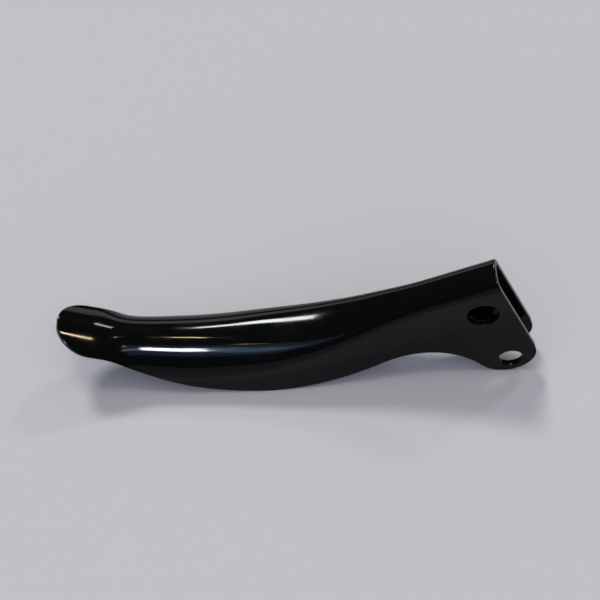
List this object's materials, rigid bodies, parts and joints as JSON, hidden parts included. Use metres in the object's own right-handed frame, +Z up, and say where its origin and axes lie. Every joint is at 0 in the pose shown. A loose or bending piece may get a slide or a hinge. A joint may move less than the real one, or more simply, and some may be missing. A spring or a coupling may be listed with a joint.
{
  "type": "tiller handle",
  "caption": "Pressed steel hand lever for a garden tiller: a channel with a pivot bore and a cable pin bore through two cheeks, widening to a half-round grip and a curled tongue.",
  "frame": {"origin": "centre of the pivot bore, midway between the two cheeks", "axes": "+Y along the pivot bore, +X toward the cut pivot end with the grip toward -X, +Z up as the lever rests on a table on its pin lobes and belly edges"},
  "size_m": [0.1588, 0.0242, 0.0494],
  "materials": {
    "enamel": "gloss"
  },
  "bodies": {
    "root": {"lever": "enamel"}
  },
  "joints": []
}
